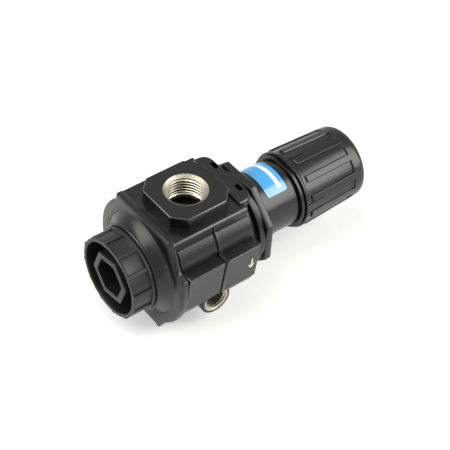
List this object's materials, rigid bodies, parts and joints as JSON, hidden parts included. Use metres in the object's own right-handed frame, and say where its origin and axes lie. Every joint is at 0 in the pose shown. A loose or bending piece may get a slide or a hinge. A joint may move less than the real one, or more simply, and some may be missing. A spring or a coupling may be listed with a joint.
{
  "type": "air pressure regulator",
  "caption": "Compressed-air regulator with two threaded ports, side gauge ports, ribbed pull-to-unlock knob, octagonal bonnet flange and a removable bottom plug.",
  "frame": {"origin": "middle of the bounding box's lowest face, on the flat of the lower port pad", "axes": "+Z along the flow ports, from the outlet pad up to the inlet pad; +X along the knob's axis towards the knob; the open gauge port faces -Y"},
  "size_m": [0.1554, 0.0691, 0.071],
  "materials": {
    "cast_paint": "satin black paint on a die casting",
    "bonnet_plastic": "satin moulded black plastic",
    "moulded_black": "satin moulded black plastic",
    "label_blue": "printed film label",
    "steel": "bare steel",
    "brass": "turned brass",
    "rubber": "moulded rubber",
    "sintered": "sintered porous polymer"
  },
  "bodies": {
    "housing": {"body": "cast_paint", "bonnet": "bonnet_plastic", "neck_collar": "moulded_black", "label": "label_blue", "rear_gauge_plug": "steel", "filter_element": "sintered", "valve_seat": "brass", "valve_spring": "steel", "diaphragm": "rubber", "range_spring": "steel", "thrust_washer": "brass"},
    "plug_seal": {"bottom_plug_seal": "rubber"},
    "plug": {"bottom_plug": "moulded_black"},
    "poppet": {"valve_poppet": "brass", "valve_disc": "rubber", "poppet_seal": "rubber"},
    "diaphragm_stack": {"diaphragm_plate": "brass", "spring_seat": "steel"},
    "screw": {"adjusting_screw": "steel", "knob_clip": "steel"},
    "nut": {"spring_nut": "brass"},
    "knob": {"knob": "moulded_black", "knob_end_cap": "moulded_black"}
  },
  "joints": [
    {"name": "screw_turn", "type": "hinge", "parent": "housing", "child": "screw", "pos_m": [0.04, 0, 0.0355], "axis": [1, 0, 0], "range_deg": [-1800, 0]},
    {"name": "nut_travel", "type": "slide", "parent": "housing", "child": "nut", "axis": [1, 0, 0], "range_m": [-0.0076, 0.0001], "deforming": ["range_spring"]},
    {"name": "knob_pull", "type": "slide", "parent": "screw", "child": "knob", "axis": [1, 0, 0], "range_m": [0, 0.003]},
    {"name": "diaphragm_travel", "type": "slide", "parent": "housing", "child": "diaphragm_stack", "axis": [1, 0, 0], "range_m": [-0.0018, 0], "stiffness_N_per_m": 500, "deforming": ["diaphragm"]},
    {"name": "valve_lift", "type": "slide", "parent": "housing", "child": "poppet", "axis": [1, 0, 0], "range_m": [-0.0019, 0.0001], "deforming": ["valve_spring"]},
    {"name": "plug_withdraw", "type": "slide", "parent": "housing", "child": "plug_seal", "axis": [-1, 0, 0], "range_m": [-0.0001, 0.0121]},
    {"name": "plug_turn", "type": "hinge", "parent": "plug_seal", "child": "plug", "pos_m": [-0.07, 0, 0.0355], "axis": [-1, 0, 0], "range_deg": [0, 2160]}
  ],
  "couplings": [
    {"joint": "nut_travel", "follows": "screw_turn", "m_per_rad": 0.00023873},
    {"joint": "valve_lift", "follows": "diaphragm_travel", "ratio": 1},
    {"joint": "plug_withdraw", "follows": "plug_turn", "m_per_rad": 0.00031831}
  ]
}
